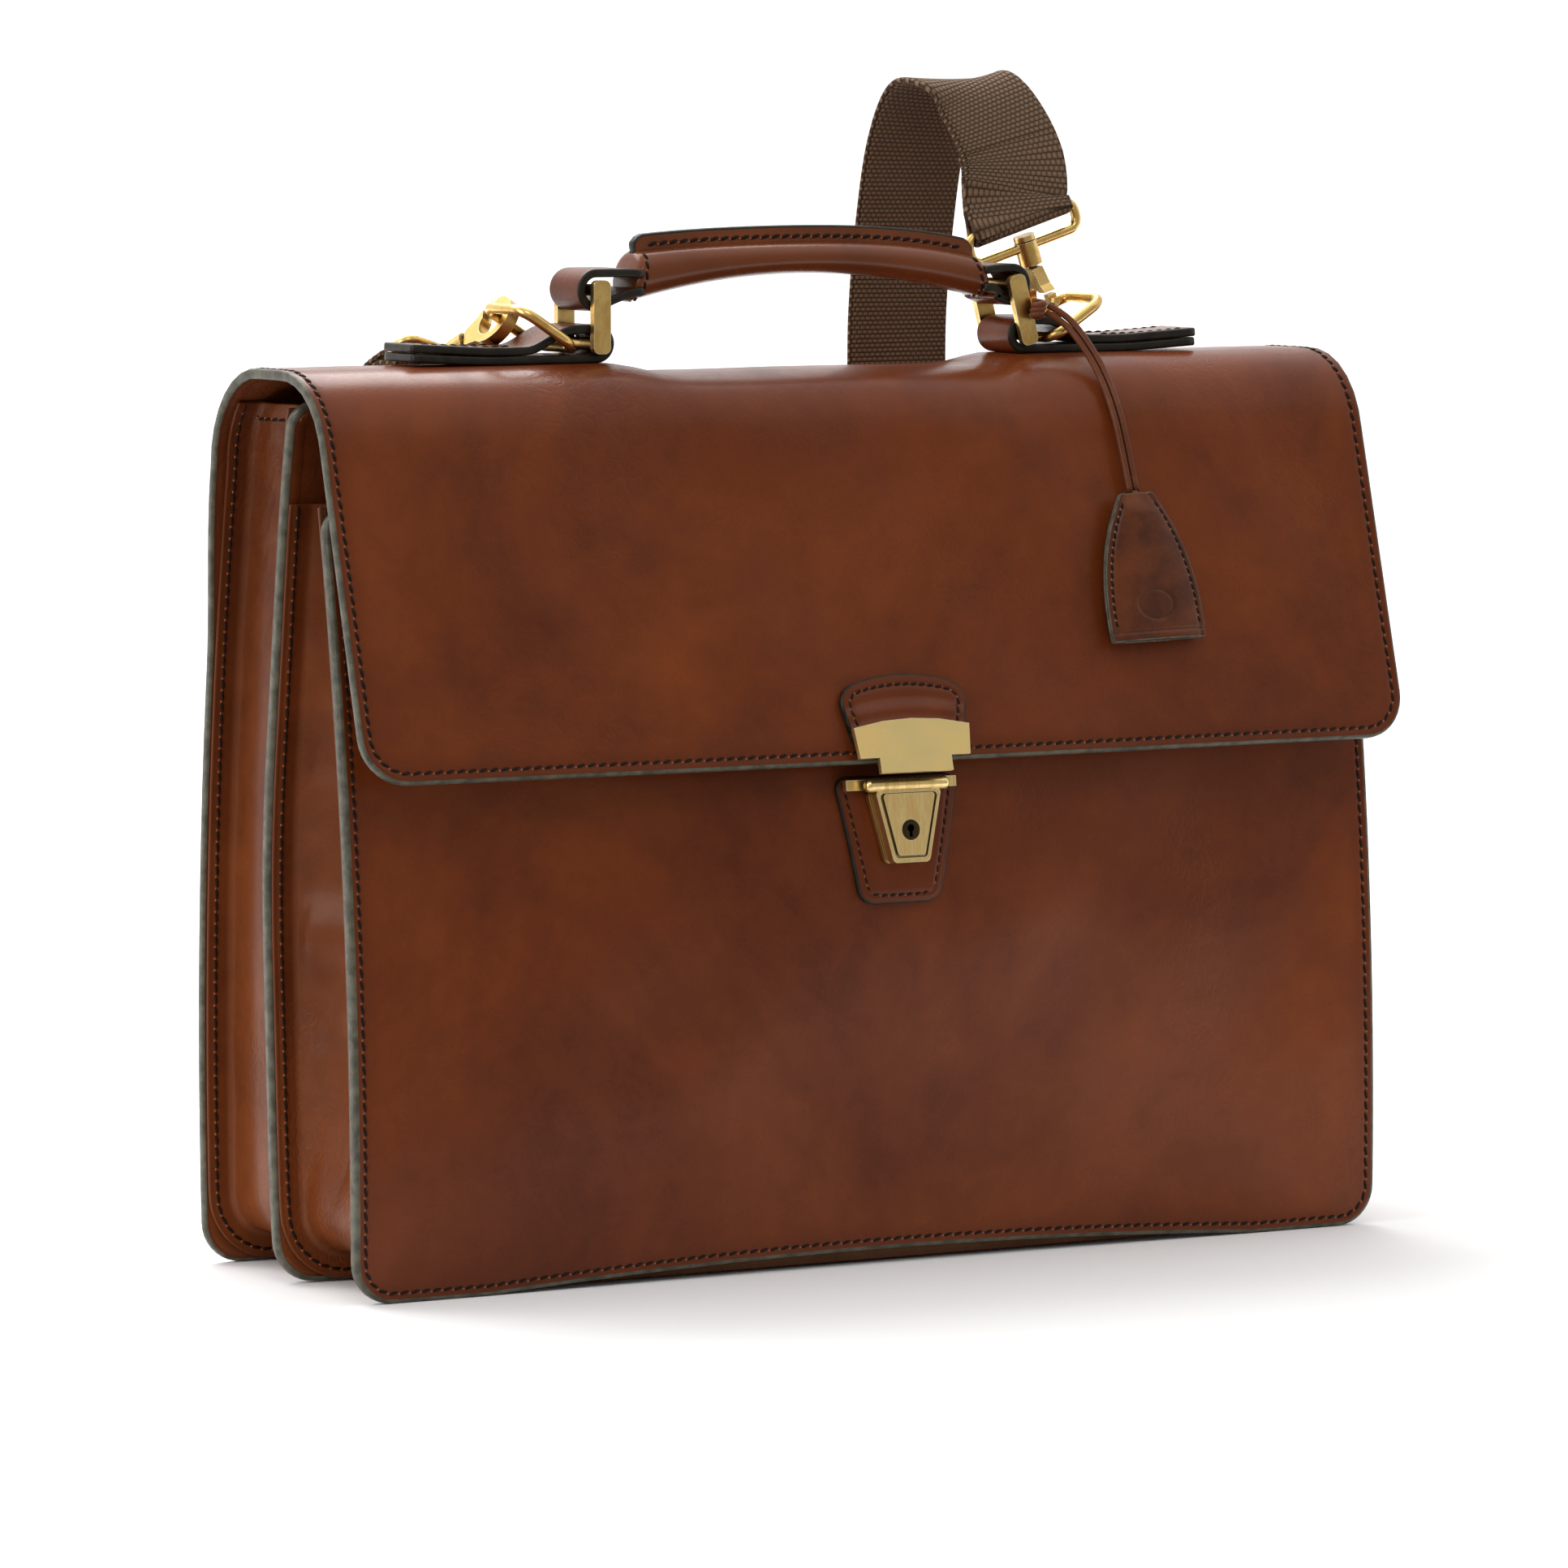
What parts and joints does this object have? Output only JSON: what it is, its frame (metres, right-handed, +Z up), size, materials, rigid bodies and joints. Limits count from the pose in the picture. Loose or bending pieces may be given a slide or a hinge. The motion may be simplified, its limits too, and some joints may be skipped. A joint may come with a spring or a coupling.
{
  "type": "flap-over briefcase",
  "caption": "Upright leather flap-over briefcase with gusseted compartments, a carrying handle on rings, a tuck lock, a key bell on a lace and a webbing shoulder strap.",
  "frame": {"origin": "middle of the divider panel's bottom edge, on the floor", "axes": "+Z up, -Y towards the front of the bag with the lock, +X to the right seen from the front"},
  "size_m": [0.406, 0.1868, 0.4001],
  "materials": {
    "cognac_leather": "glossy vegetable-tanned leather, burnished cognac",
    "gusset_leather": "glossy softer leather",
    "lining_suede": "matte suede",
    "antique_brass": "polished, darkened in its hollows",
    "plated_steel": "satin",
    "brown_webbing": "coarse basket weave webbing",
    "leather_lace": "waxed round lace"
  },
  "bodies": {
    "bag": {"back_panel": "cognac_leather", "back_lining": "lining_suede", "divider_panel": "cognac_leather", "front_panel": "cognac_leather", "slip_pocket": "lining_suede", "rear_gusset": "gusset_leather", "front_gusset": "gusset_leather", "rear_bend": "cognac_leather", "lower_patch": "cognac_leather", "lock_base": "antique_brass", "lock_screws": "plated_steel", "lock_backing": "plated_steel", "strap_right_arch": "brown_webbing", "strap_left_arch": "brown_webbing"},
    "flap_top": {"flap_top": "cognac_leather", "tab_left": "cognac_leather", "tab_right": "cognac_leather", "hook_left": "antique_brass", "hook_right": "antique_brass", "lace_knot": "leather_lace"},
    "flap_leaf": {"flap_leaf": "cognac_leather", "front_bend": "cognac_leather", "upper_patch": "cognac_leather", "upper_plate": "antique_brass", "lace_strand_left": "leather_lace", "lace_strand_right": "leather_lace", "lace_tail": "leather_lace", "keys": "antique_brass"},
    "ring_left": {"ring_left": "antique_brass"},
    "handle": {"handle_grip": "cognac_leather", "handle_seam": "cognac_leather", "tongue_left": "cognac_leather", "tongue_right": "cognac_leather"},
    "ring_right": {"ring_right": "antique_brass"},
    "d_ring_left": {"d_ring_left": "antique_brass"},
    "d_ring_right": {"d_ring_right": "antique_brass"},
    "gate_left": {"gate_left": "antique_brass"},
    "gate_right": {"gate_right": "antique_brass"},
    "strap_wire_left": {"strap_wire_left": "antique_brass"},
    "strap_wire_right": {"strap_wire_right": "antique_brass"},
    "strap": {"strap_hanging": "brown_webbing", "strap_adjuster": "antique_brass"},
    "lock_slide": {"lock_slide": "antique_brass"},
    "key_rotor": {"key_rotor": "antique_brass"},
    "key_bell": {"key_bell": "cognac_leather"}
  },
  "joints": [
    {"name": "flap_fold", "type": "hinge", "parent": "bag", "child": "flap_top", "pos_m": [0, 0.03077, 0.29477], "axis": [-1, 0, 0], "range_deg": [0, 65], "deforming": ["rear_bend", "strap_right_arch", "strap_left_arch"]},
    {"name": "flap_lift", "type": "hinge", "parent": "flap_top", "child": "flap_leaf", "pos_m": [0, -0.0303, 0.29802], "axis": [-1, 0, 0], "range_deg": [0, 110], "deforming": ["front_bend", "lace_strand_left", "lace_strand_right"]},
    {"name": "ring_left_swing", "type": "hinge", "parent": "flap_top", "child": "ring_left", "pos_m": [-0.084, -0.001, 0.3125], "axis": [0, 1, 0], "range_deg": [-10, 14]},
    {"name": "handle_swing", "type": "hinge", "parent": "ring_left", "child": "handle", "pos_m": [-0.084, -0.001, 0.3305], "axis": [0, 1, 0], "range_deg": [-14, 10]},
    {"name": "ring_right_swing", "type": "hinge", "parent": "flap_top", "child": "ring_right", "pos_m": [0.084, -0.001, 0.3125], "axis": [0, 1, 0], "range_deg": [-10, 14]},
    {"name": "d_ring_left_swing", "type": "hinge", "parent": "flap_top", "child": "d_ring_left", "pos_m": [-0.094, -0.001, 0.3114], "axis": [0, 1, 0], "range_deg": [0, 6]},
    {"name": "d_ring_right_swing", "type": "hinge", "parent": "flap_top", "child": "d_ring_right", "pos_m": [0.094, -0.001, 0.3114], "axis": [0, -1, 0], "range_deg": [0, 6]},
    {"name": "gate_left_press", "type": "hinge", "parent": "flap_top", "child": "gate_left", "pos_m": [-0.10678, 0.02208, 0.32252], "axis": [0.8205, 0.0417, -0.5701], "range_deg": [0, 20], "stiffness_Nm_per_rad": 0.01, "springref_deg": -11.46},
    {"name": "gate_right_press", "type": "hinge", "parent": "flap_top", "child": "gate_right", "pos_m": [0.10478, 0.0053, 0.32529], "axis": [0.9539, 0, 0.3], "range_deg": [0, 20], "stiffness_Nm_per_rad": 0.01, "springref_deg": -11.46},
    {"name": "strap_wire_left_swivel", "type": "hinge", "parent": "flap_top", "child": "strap_wire_left", "pos_m": [-0.10862, 0.01498, 0.31935], "axis": [-0.3984, 0.757, -0.5179], "range_deg": [-8, 8]},
    {"name": "strap_wire_right_swivel", "type": "hinge", "parent": "flap_top", "child": "strap_wire_right", "pos_m": [0.10568, 0.0127, 0.32243], "axis": [-0.3, 0, 0.9539], "range_deg": [-15, 0]},
    {"name": "strap_swing", "type": "hinge", "parent": "bag", "child": "strap", "pos_m": [0, 0.07, 0.292], "axis": [1, 0, 0], "range_deg": [0, 35]},
    {"name": "lock_slide_press", "type": "slide", "parent": "bag", "child": "lock_slide", "axis": [0, -0.1068, -0.9943], "range_m": [0, 0.004], "stiffness_N_per_m": 150, "springref_m": -0.003},
    {"name": "key_turn", "type": "hinge", "parent": "lock_slide", "child": "key_rotor", "pos_m": [0, -0.06999, 0.149], "axis": [0, 0.9943, -0.1068], "range_deg": [0, 90]},
    {"name": "key_bell_slide", "type": "slide", "parent": "flap_leaf", "child": "key_bell", "axis": [-0.0262, 0.2655, 0.9638], "range_m": [0, 0.028]}
  ],
  "couplings": [
    {"joint": "handle_swing", "follows": "ring_left_swing", "ratio": -1},
    {"joint": "ring_right_swing", "follows": "ring_left_swing", "ratio": 1}
  ]
}
